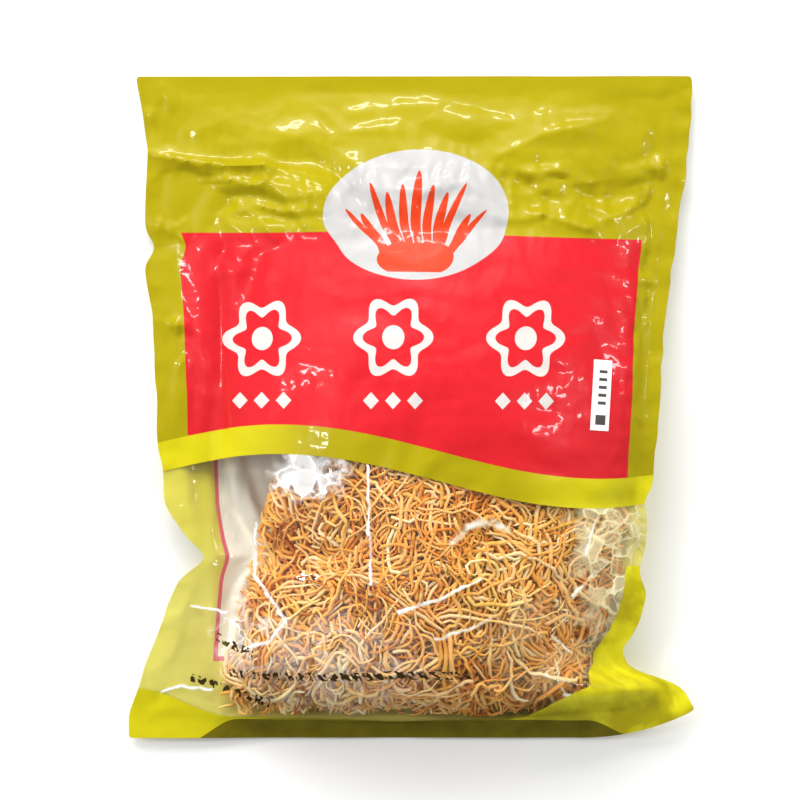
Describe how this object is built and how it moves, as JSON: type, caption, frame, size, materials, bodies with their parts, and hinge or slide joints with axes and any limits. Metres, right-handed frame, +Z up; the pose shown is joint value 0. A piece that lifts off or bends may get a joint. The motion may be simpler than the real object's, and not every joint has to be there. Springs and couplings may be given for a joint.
{
  "type": "bag of dried cordyceps",
  "caption": "Sealed printed film bag with a clear window, filled with loose dried curly cordyceps strands, lying on its back",
  "frame": {"origin": "on the surface the bag lies on, under the middle of the bag", "axes": "+Y from the bottom seal to the top edge, +X to the right as the printed front is read, +Z up, out of the printed front"},
  "size_m": [0.2435, 0.286, 0.0541],
  "materials": {
    "front_print": "glossy laminated film, printed yellow and red on its inner side, with a clear window",
    "back_print": "glossy laminated film, printed yellow with a pale framed panel",
    "dried_fungus": "matt, wrinkled, golden tan to orange-brown dried fungus",
    "label_paper": "white coated label paper with dark marks"
  },
  "bodies": {
    "root": {"front_film": "front_print", "back_film": "back_print", "cordyceps_strands": "dried_fungus", "date_sticker": "label_paper"}
  },
  "joints": []
}
